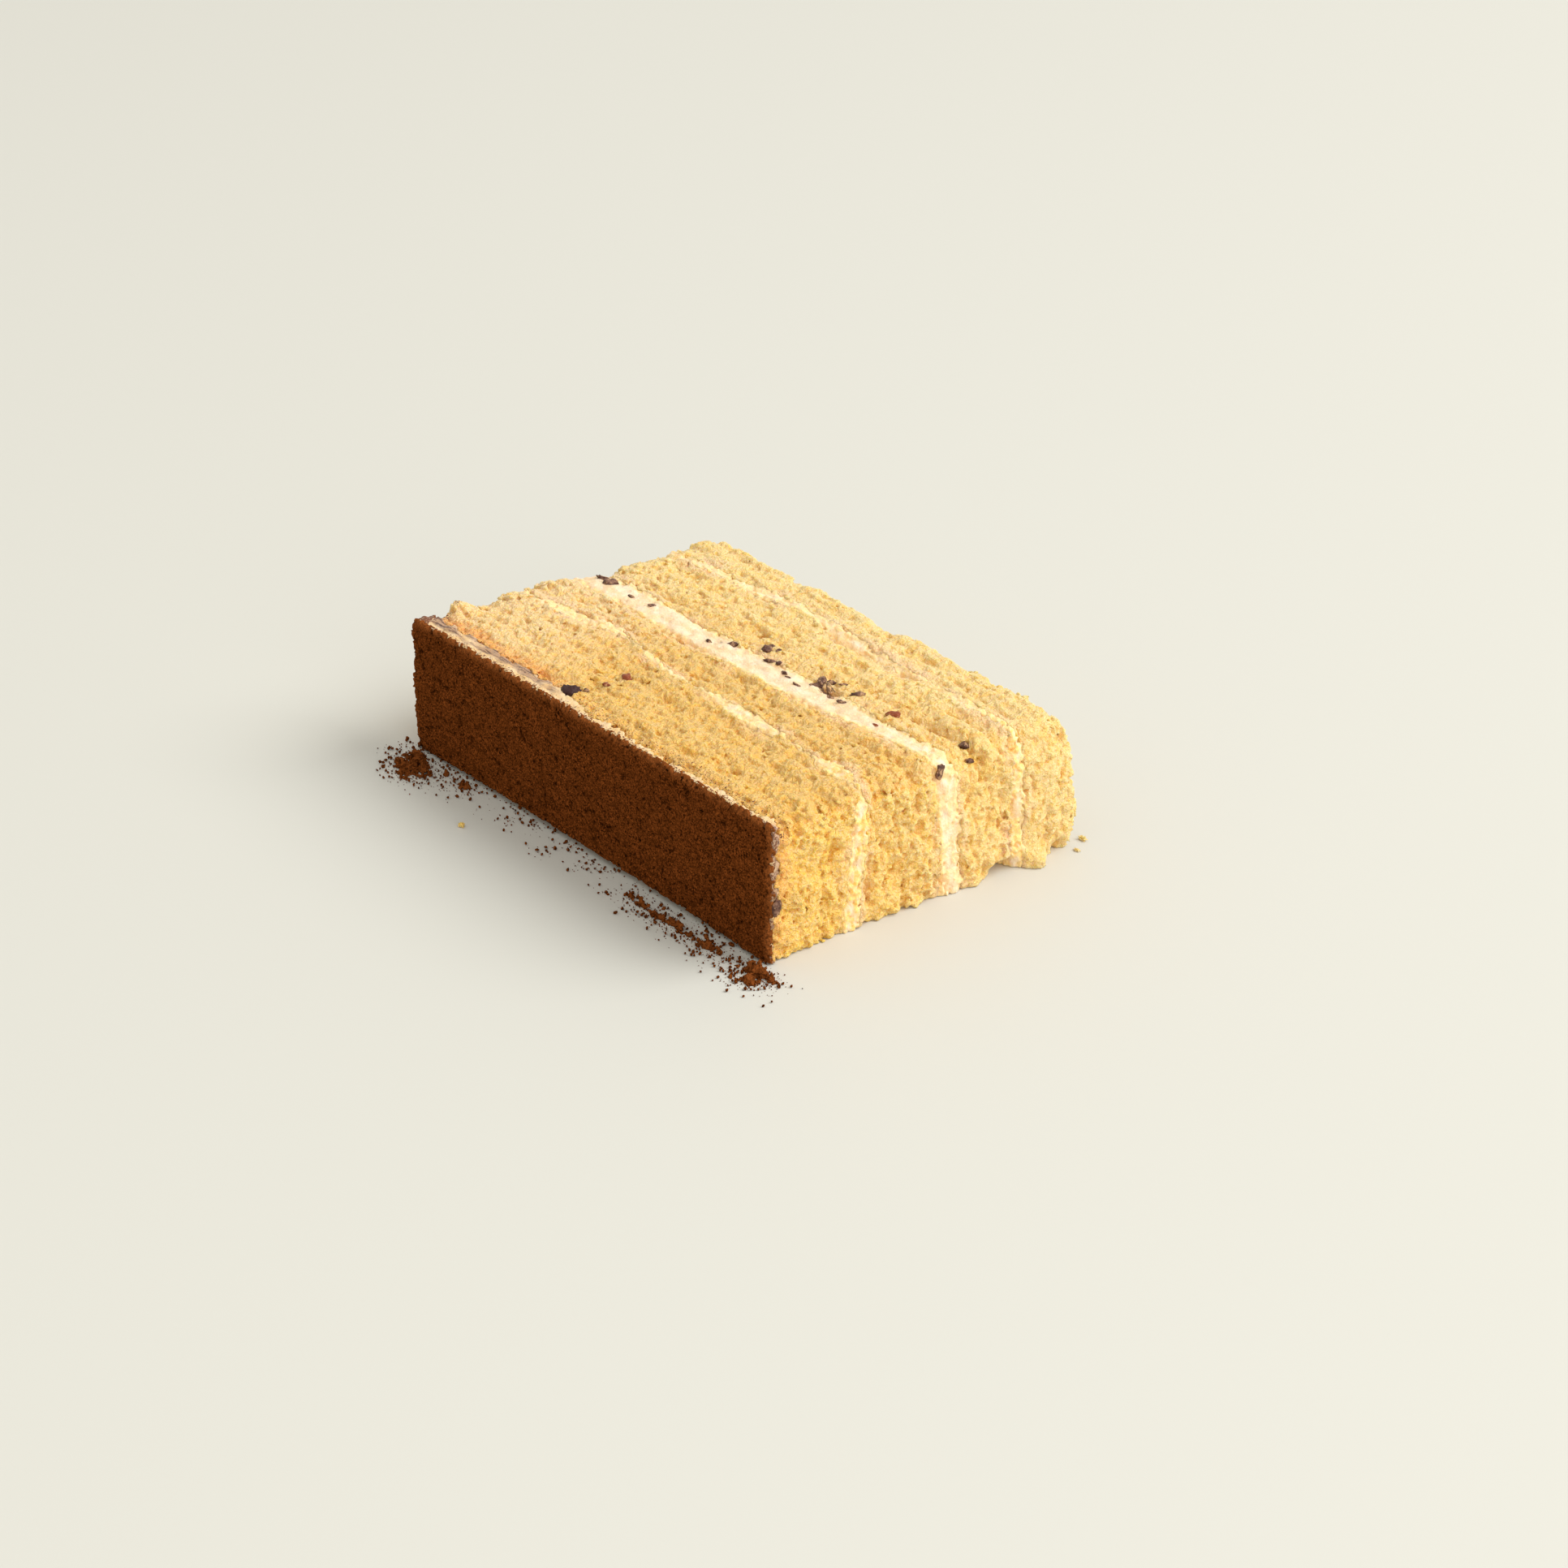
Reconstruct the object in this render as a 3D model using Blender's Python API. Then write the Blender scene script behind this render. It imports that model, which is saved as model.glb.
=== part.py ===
"""A slice of a vanilla sponge cake in four layers, filled with coffee cream and dusted with cocoa.

The slice lies on one of its cut faces. X runs along the layers, Y goes down through the stack from
the dusted top of the cake, which faces -Y, and Z is the thickness of the slice. The origin is at the
middle of the face that it lies on. Metres.
"""

import math
import random

import bmesh
import bpy
from mathutils import Vector, noise

MM = 0.001

# The block that the slice fills as it lies, where it spreads furthest
LENGTH = 104 * MM
STACK = 70 * MM
THICKNESS = 26.2 * MM

# How its sides stand in from that block
SPREAD = 2.8 * MM  # the +X end leans in by this much from its foot, and all over near the dusted face
LEFT_BITE = 4.4 * MM  # crumb lost from the -X end behind the first filling
BACK_SWELL = 2.8 * MM  # the cake's base is fullest at SWELL_HEIGHT and leans in above it
SWELL_HEIGHT = 8 * MM
BACK_NOTCH = 2.4 * MM  # a crumb torn out of the upper edge of the base
NOTCH_AT = 4.5 * MM
NOTCH_REACH = 3 * MM
FOOT_LIFT = 1.2 * MM  # how far the edge under the dusted face is above the rest of that face
FOOT_REACH = 9 * MM  # how deep into the stack it does so
FOOT_BITE = 4 * MM  # crumb lost from the foot of the +X end
BITE_AT = 16.8 * MM
BITE_REACH = 2.8 * MM
BITE_HEIGHT = 3.4 * MM
FADE_ALONG = 6  # the higher, the closer to an end the shape of that end begins
FADE_UP = 4

# Layers, as they are met from the dusted face
DUSTING = 1.1 * MM
ICING = 1.9 * MM
ICING_SWELL = 2.2 * MM  # how much thicker the icing is towards the -X end
SWELL_START = 2 * MM
SWELL_FULL = -16 * MM
SEAM = 0.34 * MM  # clear space between two layers

# Relief of the faces that show
FURROW = 1.5 * MM  # depth of the furrows that the knife tore along the layers
FURROW_LENGTH = 9 * MM
FURROW_WIDTH = 3.4 * MM
CRUMB = 1.3 * MM  # depth of single torn crumbs
CRUMB_SIZE = 2.3 * MM
TORN_SHARE = 0.12  # more than 0 leaves less than half of a face at its full height
CREAM_RECESS = 0.35 * MM
CREAM_RIPPLE = 0.4 * MM
RIPPLE_SIZE = 5.5 * MM
POWDER = 0.25 * MM
POWDER_SIZE = 5 * MM
WORN_EDGE = 4 * MM  # width over which an edge of the sponge is rubbed round
WORN_DEPTH = 1.2 * MM
DUSTED_EDGE = 1.6 * MM  # the same for an edge of the dusted face
DUSTED_DEPTH = 0.9 * MM
WORN_CORNER = 2.6 * MM  # extra depth at the crumbled corner, +X, +Y and up
HOLE_AT = (17.2 * MM, 6.2 * MM)  # a hollow beside the middle filling, X and Y
HOLE_REACH = 4.2 * MM
HOLE_DEPTH = 2.4 * MM

# Facets: columns along the layers, rows through the thickness, and size through the stack
COLUMNS = 52
CROWDING = 0.22  # how much closer together the columns stand towards the ends
ROWS = 9
ROW_CROWDING = 1.3
SPONGE_STEP = 2.3 * MM
CREAM_STEP = 2.4 * MM
FLAT_ENOUGH = math.radians(0.3)  # neighbouring facets that turn less than this become one

SPONGE_COLOUR = (0.80, 0.52, 0.17)
CREAM_COLOUR = (0.90, 0.74, 0.50)
ICING_COLOUR = (0.86, 0.66, 0.38)
COCOA_COLOUR = (0.085, 0.028, 0.010)


def smooth_step(start, full, value):
    """0 before start and 1 past full, with a smooth rise between them."""
    t = min(1.0, max(0.0, (value - start) / (full - start)))
    return t * t * (3 - 2 * t)


def from_dusted_face(depth):
    return depth - STACK / 2


class Filling:
    """One spread of cream between two sponges: its middle surface and its thickness."""

    def __init__(self, depth, rise, rise_at, rise_reach, end_drift, base_lean, half, half_at_end):
        self.middle = from_dusted_face(depth)  # where it lies on the upper cut face
        self.rise = rise  # a bulge of the middle surface towards the base of the cake
        self.rise_at = rise_at
        self.rise_reach = rise_reach
        self.end_drift = end_drift  # how far it has turned at the +X end
        self.base_lean = base_lean  # how far it has moved at the face that the slice lies on
        self.half = half
        self.half_at_end = half_at_end

    def centre(self, x, z):
        bulge = self.rise * math.exp(-(((x - self.rise_at) / self.rise_reach) ** 2))
        drift = self.end_drift * max(0.0, x / LENGTH + 0.5) ** 8
        return self.middle + bulge + drift + self.base_lean * (1 - z / THICKNESS)

    def half_thickness(self, x):
        return self.half + (self.half_at_end - self.half) * smooth_step(0, LENGTH / 2, x)

    def near(self, x, z):
        return self.centre(x, z) - self.half_thickness(x)

    def far(self, x, z):
        return self.centre(x, z) + self.half_thickness(x)


FILLINGS = (
    Filling(23.0 * MM, 3.0 * MM, -25 * MM, 13 * MM, -3.0 * MM, -2.4 * MM, 1.5 * MM, 1.6 * MM),
    Filling(36.9 * MM, -0.6 * MM, -10 * MM, 14 * MM, 2.6 * MM, 0.8 * MM, 3.7 * MM, 2.3 * MM),
    Filling(55.4 * MM, 2.2 * MM, -11 * MM, 16 * MM, -0.4 * MM, -0.6 * MM, 1.5 * MM, 1.2 * MM),
)

# Chocolate: node, X on the upper face or Z on the +X end, depth from the dusted face, size, and where
CHOCOLATE = (
    ("cream_2", -41.2 * MM, 36.4 * MM, 1.9 * MM, "upper"),
    ("cream_2", -33.0 * MM, 37.0 * MM, 1.1 * MM, "upper"),
    ("cream_2", -4.8 * MM, 37.6 * MM, 1.2 * MM, "upper"),
    ("cream_2", 5.5 * MM, 37.2 * MM, 1.2 * MM, "upper"),
    ("cream_2", 9.6 * MM, 36.4 * MM, 1.1 * MM, "upper"),
    ("cream_2", 14.2 * MM, 38.0 * MM, 1.6 * MM, "upper"),
    ("cream_2", 19.0 * MM, 37.2 * MM, 1.3 * MM, "upper"),
    ("sponge_3", -1.3 * MM, 43.4 * MM, 1.2 * MM, "upper"),
    ("sponge_3", 20.2 * MM, 43.6 * MM, 1.9 * MM, "upper"),
    ("sponge_3", 14.6 * MM, 44.0 * MM, 1.3 * MM, "upper"),
    ("sponge_3", 32.7 * MM, 43.6 * MM, 1.4 * MM, "upper"),
    ("sponge_3", 45.4 * MM, 46.0 * MM, 1.5 * MM, "upper"),
    ("sponge_1", -8.2 * MM, 15.7 * MM, 1.2 * MM, "upper"),
    ("icing", -10.1 * MM, 2.8 * MM, 1.4 * MM, "upper"),
    ("cream_2", 21.5 * MM, 39.6 * MM, 1.4 * MM, "end"),
)
CHIP_CORNERS = 9
CHIP_FLATNESS = (1.0, 0.62, 0.5)
CHIP_SHOWS = -0.1  # how far a chip's middle is above the crumb that it is stuck in, in chip sizes


def clear_scene():
    for obj in list(bpy.data.objects):
        bpy.data.objects.remove(obj, do_unlink=True)


def material(name, colour, roughness):
    made = bpy.data.materials.new(name)
    made.use_nodes = True
    shader = made.node_tree.nodes["Principled BSDF"]
    shader.inputs["Base Color"].default_value = (*colour, 1)
    shader.inputs["Roughness"].default_value = roughness
    shader.inputs["Metallic"].default_value = 0
    return made


def dusted_face(x, z):
    return from_dusted_face(0)


def dusting_back(x, z):
    return from_dusted_face(DUSTING)


def icing_back(x, z):
    swell = ICING_SWELL * smooth_step(SWELL_START, SWELL_FULL, x)
    return from_dusted_face(DUSTING + (ICING + swell) * (0.6 + 0.4 * z / THICKNESS))


def cake_base(x, z):
    return from_dusted_face(STACK)


def uneven(along, across, length, width):
    """Smooth noise between about -1 and 1, stretched along the layers."""
    return noise.noise(Vector((along / length, across / width, length / width)))


def furrows(along, across):
    """Depth of the torn crumb at a place on a cut face, along the layers and across them."""
    tears = uneven(along, across, FURROW_LENGTH, FURROW_WIDTH) + TORN_SHARE
    crumbs = uneven(along, across, CRUMB_SIZE, CRUMB_SIZE) + TORN_SHARE
    return max(0.0, FURROW * tears + CRUMB * crumbs)


def ripples(along, across):
    """Depth of the cream below the cut face: smoother than the crumb, and a little sunk."""
    return CREAM_RECESS + CREAM_RIPPLE * max(0.0, uneven(along, across, RIPPLE_SIZE, RIPPLE_SIZE))


def powder(along, across):
    """Depth of the hollows in the packed dusting."""
    return POWDER * max(0.0, uneven(along, across, POWDER_SIZE, POWDER_SIZE))


def rubbed(distance, depth):
    """How deep an edge is rubbed away at this distance from it, further into the stack than the icing."""
    if depth < DUSTING + ICING:
        return DUSTED_DEPTH * max(0.0, 1 - distance / DUSTED_EDGE) ** 2
    return WORN_DEPTH * max(0.0, 1 - distance / WORN_EDGE) ** 2


def corner_loss(x, y, z):
    """The crumbled corner at +X, +Y and the upper face."""
    away = Vector((LENGTH / 2 - SPREAD - x, STACK / 2 - BACK_SWELL - y, THICKNESS - z)).length
    return WORN_CORNER * max(0.0, 1 - away / (3 * WORN_EDGE))


def hole(x, y):
    away = math.hypot(x - HOLE_AT[0], y - HOLE_AT[1]) / HOLE_REACH
    return HOLE_DEPTH * max(0.0, 1 - away * away)


def end_stands_in(end, y, z):
    depth = y + STACK / 2
    height = z / THICKNESS
    if end > 0:
        across_bite = math.exp(-(((y - BITE_AT) / BITE_REACH) ** 2))
        bite = FOOT_BITE * across_bite * (1 - smooth_step(0, BITE_HEIGHT, z))
        return SPREAD * (1 - smooth_step(16 * MM, 58 * MM, depth) * (1 - height)) + bite
    bitten = smooth_step(28 * MM, 42 * MM, depth)
    return LEFT_BITE * bitten * (0.35 + 0.65 * height)


def back_stands_in(x, z):
    notch = math.exp(-(((x - NOTCH_AT) / NOTCH_REACH) ** 2)) * (z / THICKNESS) ** 4
    return BACK_SWELL * (abs(z - SWELL_HEIGHT) / (THICKNESS - SWELL_HEIGHT)) ** 1.5 + BACK_NOTCH * notch


def foot_lift(x, y):
    into_stack = (y + STACK / 2) / FOOT_REACH
    if into_stack >= 1:
        return 0.0
    bow = max(0.0, math.cos(math.pi * x / LENGTH)) ** 0.5
    return FOOT_LIFT * bow * (1 - into_stack)


def end_depth(end, y, z, relief):
    """How far the surface of the +X end, or of the -X end, lies inside the block."""
    depth = y + STACK / 2
    worn = rubbed(THICKNESS - z, depth) + corner_loss(end * LENGTH / 2, y, z)
    return end_stands_in(end, y, z) + relief(z + end * THICKNESS, y) + worn


def upper_depth(x, y, relief):
    depth = y + STACK / 2
    worn = rubbed(LENGTH / 2 - abs(x), depth) + rubbed(STACK / 2 - y, depth)
    return relief(x, y) + worn + corner_loss(x, y, THICKNESS) + hole(x, y)


def back_depth(x, z, relief):
    worn = rubbed(THICKNESS - z, STACK) + rubbed(LENGTH / 2 - abs(x), STACK)
    return back_stands_in(x, z) + relief(x, z + STACK) + worn + corner_loss(x, STACK / 2, z)


def shown_place(x, y, z, relief, to_back):
    """Where a point of the plain block lies on the slice. A face's relief fades out below it, so that
    no facet folds over. to_back is how far the point is through the layer that ends at the base."""
    end = math.copysign(1, x)
    return Vector((
        x - end * end_depth(end, y, z, relief) * abs(2 * x / LENGTH) ** FADE_ALONG,
        y - back_depth(x, z, relief) * to_back,
        z - upper_depth(x, y, relief) * (z / THICKNESS) ** FADE_UP,
    ))


def column_x(i):
    """Columns stand closer together towards the two ends."""
    s = 2 * i / COLUMNS - 1
    return LENGTH / 2 * ((1 + CROWDING) * s - CROWDING * s ** 3)


def row_z(k):
    """Rows stand closer together towards the upper face."""
    return THICKNESS * (1 - (1 - k / ROWS) ** ROW_CROWDING)


def layer(name, near, far, step, relief, made_of):
    """One layer of the stack between two surfaces, as a closed block of facets."""
    slices = max(1, round((far(0, THICKNESS) - near(0, THICKNESS)) / step))
    is_last = far is cake_base
    mesh = bmesh.new()
    points = {}

    def point(i, j, k):
        if (i, j, k) in points:
            return points[i, j, k]
        x, z = column_x(i), row_z(k)
        low = near(x, z) + (0 if near is dusted_face else SEAM / 2)
        high = far(x, z) - (0 if is_last else SEAM / 2)
        y = low + (high - low) * j / slices
        place = shown_place(x, y, z, relief, j / slices if is_last else 0)
        if j == 0 and near is not dusted_face:  # a point on a seam stays on the seam's surface
            place.y = near(place.x, place.z) + SEAM / 2
        if j == slices and not is_last:
            place.y = far(place.x, place.z) - SEAM / 2
        if k == 0:
            place.z = foot_lift(place.x, place.y)
        points[i, j, k] = mesh.verts.new(place)
        return points[i, j, k]

    def face(corners):
        mesh.faces.new([point(*corner) for corner in corners])

    for i in range(COLUMNS):
        for j in range(slices):
            face([(i, j, ROWS), (i + 1, j, ROWS), (i + 1, j + 1, ROWS), (i, j + 1, ROWS)])
            face([(i, j, 0), (i, j + 1, 0), (i + 1, j + 1, 0), (i + 1, j, 0)])
        for k in range(ROWS):
            face([(i, 0, k), (i + 1, 0, k), (i + 1, 0, k + 1), (i, 0, k + 1)])
            face([(i, slices, k), (i, slices, k + 1), (i + 1, slices, k + 1), (i + 1, slices, k)])
    for j in range(slices):
        for k in range(ROWS):
            face([(0, j, k), (0, j, k + 1), (0, j + 1, k + 1), (0, j + 1, k)])
            face([(COLUMNS, j, k), (COLUMNS, j + 1, k), (COLUMNS, j + 1, k + 1), (COLUMNS, j, k + 1)])

    data = bpy.data.meshes.new(name)
    mesh.to_mesh(data)
    mesh.free()
    data.materials.append(made_of)
    obj = bpy.data.objects.new(name, data)
    bpy.context.scene.collection.objects.link(obj)
    merge = obj.modifiers.new("flat_facets", "DECIMATE")
    merge.decimate_type = "DISSOLVE"
    merge.angle_limit = FLAT_ENOUGH
    return obj


def chip(place, size, seed, group):
    """A broken bit of chocolate: the hull of a few points on a flattened ball."""
    draw = random.Random(seed)
    turn = draw.uniform(0, math.pi)
    mesh = bmesh.new()
    for _ in range(CHIP_CORNERS):
        way = Vector((draw.gauss(0, 1), draw.gauss(0, 1), draw.gauss(0, 1))).normalized()
        flat = Vector([way[n] * CHIP_FLATNESS[n] * size for n in range(3)])
        across = flat.x * math.cos(turn) - flat.y * math.sin(turn)
        along = flat.x * math.sin(turn) + flat.y * math.cos(turn)
        mesh.verts.new(place + Vector((across, along, flat.z)))
    hull = bmesh.ops.convex_hull(mesh, input=mesh.verts)
    unused = [part for part in hull["geom_interior"] + hull["geom_unused"] if part in list(mesh.verts)]
    bmesh.ops.delete(mesh, geom=unused, context="VERTS")
    bmesh.ops.recalc_face_normals(mesh, faces=mesh.faces)
    data = bpy.data.meshes.new("chip")
    mesh.to_mesh(data)
    mesh.free()
    group.objects.link(bpy.data.objects.new("chip", data))


def chip_place(across, depth, size, side, relief):
    """The middle of a chip, partly sunk in the upper face or in the +X end."""
    y = from_dusted_face(depth)
    shows = CHIP_SHOWS * size
    if side == "end":
        z = across
        return Vector((LENGTH / 2 - end_depth(1, y, z, relief) + shows, y, z))
    x = across
    return Vector((x, y, THICKNESS - upper_depth(x, y, relief) + shows))


def fuse_chocolate(obj, rows, relief):
    """Fuses chips with the layer that they are stuck in, by one union on their collection."""
    group = bpy.data.collections.new(obj.name + "_chips")
    bpy.context.scene.collection.children.link(group)
    for seed, (_, across, depth, size, side) in enumerate(rows):
        chip(chip_place(across, depth, size, side, relief), size, seed + 11, group)
    union = obj.modifiers.new("chips", "BOOLEAN")
    union.operation = "UNION"
    union.operand_type = "COLLECTION"
    union.collection = group
    union.solver = "MANIFOLD"
    graph = bpy.context.evaluated_depsgraph_get()
    fused = bpy.data.meshes.new_from_object(obj.evaluated_get(graph))
    obj.modifiers.clear()
    obj.data = fused
    for helper in list(group.objects):
        bpy.data.objects.remove(helper, do_unlink=True)
    bpy.data.collections.remove(group)


def main():
    clear_scene()
    sponge = material("vanilla_sponge", SPONGE_COLOUR, 0.9)
    cream = material("coffee_cream", CREAM_COLOUR, 0.6)
    icing = material("icing", ICING_COLOUR, 0.5)
    cocoa = material("cocoa_powder", COCOA_COLOUR, 1.0)
    first, second, third = FILLINGS
    layers = (
        ("cocoa_dusting", dusted_face, dusting_back, CREAM_STEP, powder, cocoa),
        ("icing", dusting_back, icing_back, CREAM_STEP, ripples, icing),
        ("sponge_1", icing_back, first.near, SPONGE_STEP, furrows, sponge),
        ("cream_1", first.near, first.far, CREAM_STEP, ripples, cream),
        ("sponge_2", first.far, second.near, SPONGE_STEP, furrows, sponge),
        ("cream_2", second.near, second.far, CREAM_STEP, ripples, cream),
        ("sponge_3", second.far, third.near, SPONGE_STEP, furrows, sponge),
        ("cream_3", third.near, third.far, CREAM_STEP, ripples, cream),
        ("sponge_4", third.far, cake_base, SPONGE_STEP, furrows, sponge),
    )
    for name, near, far, step, relief, made_of in layers:
        obj = layer(name, near, far, step, relief, made_of)
        rows = [row for row in CHOCOLATE if row[0] == name]
        if rows:
            fuse_chocolate(obj, rows, relief)


main()
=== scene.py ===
import math
import random

import bmesh
import bpy
import numpy as np
from mathutils import Euler, Matrix, Vector, noise
from mathutils.bvhtree import BVHTree


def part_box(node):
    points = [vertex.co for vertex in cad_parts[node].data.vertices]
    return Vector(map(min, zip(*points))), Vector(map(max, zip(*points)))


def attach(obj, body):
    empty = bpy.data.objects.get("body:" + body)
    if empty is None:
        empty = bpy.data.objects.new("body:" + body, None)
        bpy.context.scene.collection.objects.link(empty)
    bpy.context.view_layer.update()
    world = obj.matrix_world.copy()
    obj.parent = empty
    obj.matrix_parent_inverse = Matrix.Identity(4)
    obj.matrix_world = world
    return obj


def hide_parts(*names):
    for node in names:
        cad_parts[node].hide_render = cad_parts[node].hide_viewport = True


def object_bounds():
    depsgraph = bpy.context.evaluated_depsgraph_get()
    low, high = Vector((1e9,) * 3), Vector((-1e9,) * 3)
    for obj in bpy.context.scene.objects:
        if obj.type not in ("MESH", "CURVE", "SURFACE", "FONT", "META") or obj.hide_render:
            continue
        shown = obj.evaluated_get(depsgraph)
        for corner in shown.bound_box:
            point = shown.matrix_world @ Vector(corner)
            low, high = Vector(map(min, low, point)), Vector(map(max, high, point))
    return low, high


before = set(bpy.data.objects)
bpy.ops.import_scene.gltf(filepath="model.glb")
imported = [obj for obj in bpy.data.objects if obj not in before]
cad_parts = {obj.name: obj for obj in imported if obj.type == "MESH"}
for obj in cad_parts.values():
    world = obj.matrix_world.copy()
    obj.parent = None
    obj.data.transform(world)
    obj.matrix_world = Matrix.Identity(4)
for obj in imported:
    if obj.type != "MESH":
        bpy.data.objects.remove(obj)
cad_low, cad_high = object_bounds()

# ---------------------------------------------------------------------------
# The four sponges: oven-baked vanilla sponge, torn rather than cut where the knife went through. It is
# moist, rounded clumps of fine crumb with pits between them, and tears that run with the layers. Each is
# carved out of a solid block of cake, so that pits undercut and edges crumble as they do in the real one.
# ---------------------------------------------------------------------------
MM = 0.001  # the trees and materials below count in millimetres
LENGTH = (cad_high.x - cad_low.x) / MM
STACK = (cad_high.y - cad_low.y) / MM
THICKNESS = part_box("sponge_2")[1].z / MM
FRONT, BACK, END = -STACK / 2, STACK / 2, LENGTH / 2

SPREAD = 2.8  # the +X end leans in by this much from its foot
END_BELLY = 1.0  # and the last sponge bulges by this much there
FOOT_BITE, FOOT_CRUMB = 4.0, 2.0  # crumb lost from the foot of that end, and crumb sticking out beside it
LEFT_BITE = 4.4  # crumb lost from the -X end
BACK_SWELL, SWELL_HEIGHT = 2.8, 8  # how far the base leans in at its upper edge, and where it is fullest
NOTCH_AT, NOTCH_DEPTH = 4.5, 2.4  # a crumb torn out of the upper edge of the base
FOOT_LIFT, FOOT_REACH = 1.2, 9  # how high the foot of the dusted face is bowed up, and how far in
DUSTING = 1.1
ICING, ICING_SWELL = 1.9, 1.8  # its thickness, and how much thicker it is towards the -X end
SEAM_WAVE = 0.9  # how far crumb and cream reach into each other
CRUMB_OVER_ICING = 1.1  # and how far crumb reaches into the icing
LUMP, LUMP_HEIGHT = (-50.5, -25.5), 2.4  # crumb standing up from the upper face, at the -X end
HOLE, HOLE_DEPTH = (17.2, 5.6), 2.6  # a hole in the upper face, by the thick cream
FURROW, FURROW_DEPTH = (34, 10.4), 1.5  # a furrow behind that cream

SPONGE_SIZES = {
    "Voxel": 0.27,
    "Simplify": 0.12,
    "Worn edge": 7.0,
    "Clump": 2.1,
    "Clump depth": 0.8,
    "Grain": 0.88,
    "Grain depth": 1.0,
    "Pit depth": 0.45,
    "Tear depth": 0.5,
    "Crag depth": 3.3,
    "Loose bit": 600,  # a floating bit with fewer points than this is blown away
    "Seed": 1,
}


class Amount:
    """A number with its own value at every place. Arithmetic on it adds nodes to its tree."""

    def __init__(self, tree, socket):
        self.tree = tree
        self.socket = socket

    def does(self, operation, *others):
        node = self.tree.nodes.new("ShaderNodeMath")
        node.operation = operation
        for slot, value in zip(node.inputs, (self, *others)):
            if isinstance(value, Amount):
                self.tree.links.new(value.socket, slot)
            else:
                slot.default_value = value
        return Amount(self.tree, node.outputs[0])

    def __add__(self, other):
        return self.does("ADD", other)

    def __sub__(self, other):
        return self.does("SUBTRACT", other)

    def __mul__(self, other):
        return self.does("MULTIPLY", other)

    def __truediv__(self, other):
        return self.does("DIVIDE", other)

    def __pow__(self, other):
        return self.does("POWER", other)

    def __neg__(self):
        return self * -1

    def __rsub__(self, other):
        return -self + other

    __radd__ = __add__
    __rmul__ = __mul__

    def least(self, other):
        return self.does("MINIMUM", other)

    def most(self, other):
        return self.does("MAXIMUM", other)

    def meets(self, other, width):
        """The lesser of two distances, with the edge where they meet rounded over this width."""
        return self.does("SMOOTH_MIN", other, width)

    def size(self):
        return self.does("ABSOLUTE")

    def bell(self, at, reach):
        t = (self - at) / reach
        return (-(t * t)).does("EXPONENT")

    def rise(self, low, high):
        """0 up to low, 1 from high on, and smooth between them."""
        node = self.tree.nodes.new("ShaderNodeMapRange")
        node.interpolation_type = "SMOOTHSTEP"
        self.tree.links.new(self.socket, node.inputs["Value"])
        node.inputs["From Min"].default_value = low
        node.inputs["From Max"].default_value = high
        return Amount(self.tree, node.outputs["Result"])


class Place:
    """Where a point is, in millimetres: a vector socket and its three amounts."""

    def __init__(self, tree, socket):
        self.tree = tree
        self.socket = socket
        parts = tree.nodes.new("ShaderNodeSeparateXYZ")
        tree.links.new(socket, parts.inputs[0])
        self.x, self.y, self.z = [Amount(tree, out) for out in parts.outputs]

    def vector_math(self, operation, *given):
        node = self.tree.nodes.new("ShaderNodeVectorMath")
        node.operation = operation
        self.tree.links.new(self.socket, node.inputs[0])
        for slot, value in zip(node.inputs[1:], given):
            if isinstance(value, (Amount, Place)):
                self.tree.links.new(value.socket, slot)
            else:
                slot.default_value = value
        return node

    def by(self, size):
        """This place in units of size, which is one length or one for each axis."""
        if isinstance(size, Amount):
            node = self.vector_math("SCALE")
            self.tree.links.new((Amount(self.tree, size.socket) ** -1).socket, node.inputs["Scale"])
            return node.outputs[0]
        sizes = size if isinstance(size, tuple) else (size, size, size)
        return self.vector_math("MULTIPLY", tuple(1 / s for s in sizes)).outputs[0]

    def moved(self, seed):
        """The same place far along in the pattern, so that another seed gives another draw."""
        node = self.vector_math("ADD")
        steps = self.tree.nodes.new("ShaderNodeCombineXYZ")
        for slot, step in zip(steps.inputs, (47.3, 33.1, 29.7)):
            if isinstance(seed, Amount):
                self.tree.links.new((seed * step).socket, slot)
            else:
                slot.default_value = seed * step
        self.tree.links.new(steps.outputs[0], node.inputs[1])
        return Place(self.tree, node.outputs[0])

    def noise(self, size, detail=1.0, roughness=0.5, colour=False):
        node = self.tree.nodes.new("ShaderNodeTexNoise")
        self.tree.links.new(self.by(size), node.inputs["Vector"])
        node.inputs["Scale"].default_value = 1
        node.inputs["Detail"].default_value = detail
        node.inputs["Roughness"].default_value = roughness
        return node.outputs["Color"] if colour else Amount(self.tree, node.outputs[0])

    def cells(self, size):
        """Distance to the middle of the nearest clump, in clump sizes."""
        node = self.tree.nodes.new("ShaderNodeTexVoronoi")
        self.tree.links.new(self.by(size), node.inputs["Vector"])
        node.inputs["Scale"].default_value = 1
        return Amount(self.tree, node.outputs["Distance"])

    def warped(self, reach, size):
        """The same place, pushed about by up to half of reach."""
        push = Place(self.tree, self.noise(size, 0.0, colour=True)).vector_math("SUBTRACT", (0.5, 0.5, 0.5))
        push = Place(self.tree, push.outputs[0]).vector_math("SCALE")
        push.inputs["Scale"].default_value = reach
        return Place(self.tree, self.vector_math("ADD", Place(self.tree, push.outputs[0])).outputs[0])


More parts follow.
